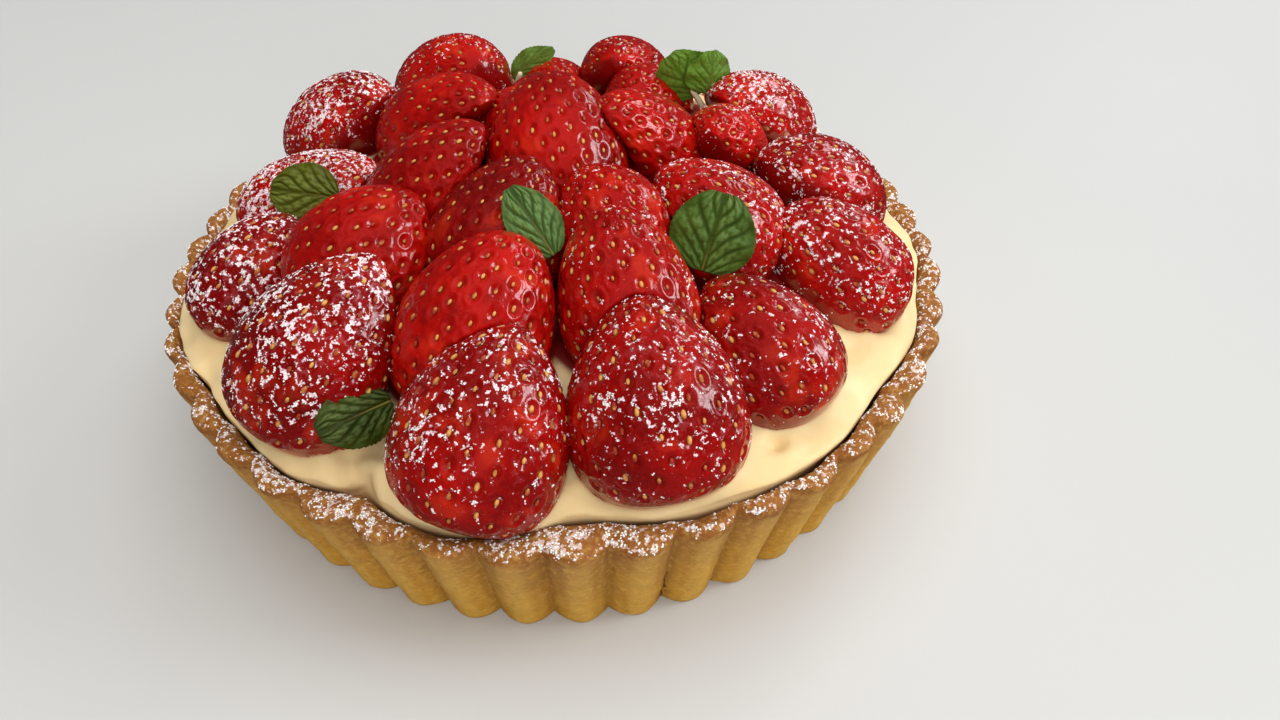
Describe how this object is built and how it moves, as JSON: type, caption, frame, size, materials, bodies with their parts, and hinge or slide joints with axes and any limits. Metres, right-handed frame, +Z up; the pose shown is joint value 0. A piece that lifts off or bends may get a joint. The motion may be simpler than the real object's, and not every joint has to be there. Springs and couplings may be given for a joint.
{
  "type": "strawberry tart",
  "caption": "Round tart with a fluted shortcrust case, domed pastry cream, a heap of halved strawberries, mint leaves and a dusting of sugar.",
  "frame": {"origin": "centre of the case's flat base, on the surface it stands on", "axes": "+Z up out of the heaped side; -Y is the front of the tart, +X its right"},
  "size_m": [0.1786, 0.1784, 0.0711],
  "materials": {
    "crust": "baked shortcrust, matt, golden at the base to brown at the rim, dusted with sugar",
    "cream": "pastry cream, smooth, softly glossy",
    "strawberry": "moist red berry skin with seeds in dimples, glossy",
    "mint": "quilted green leaf, satin"
  },
  "bodies": {
    "root": {"crust": "crust", "cream": "cream", "berry_outer_1": "strawberry", "berry_outer_2": "strawberry", "berry_outer_3": "strawberry", "berry_outer_4": "strawberry", "berry_outer_5": "strawberry", "berry_outer_6": "strawberry", "berry_outer_7": "strawberry", "berry_outer_8": "strawberry", "berry_outer_9": "strawberry", "berry_outer_10": "strawberry", "berry_outer_11": "strawberry", "berry_outer_12": "strawberry", "berry_middle_1": "strawberry", "berry_middle_2": "strawberry", "berry_middle_3": "strawberry", "berry_middle_4": "strawberry", "berry_middle_5": "strawberry", "berry_middle_6": "strawberry", "berry_middle_7": "strawberry", "berry_middle_8": "strawberry", "berry_middle_9": "strawberry", "berry_middle_10": "strawberry", "berry_inner_1": "strawberry", "berry_inner_2": "strawberry", "berry_inner_3": "strawberry", "berry_inner_4": "strawberry", "berry_inner_5": "strawberry", "berry_crown": "strawberry", "mint_1": "mint", "mint_2": "mint", "mint_3": "mint", "mint_4": "mint", "mint_5": "mint", "mint_6": "mint", "mint_7": "mint"}
  },
  "joints": []
}
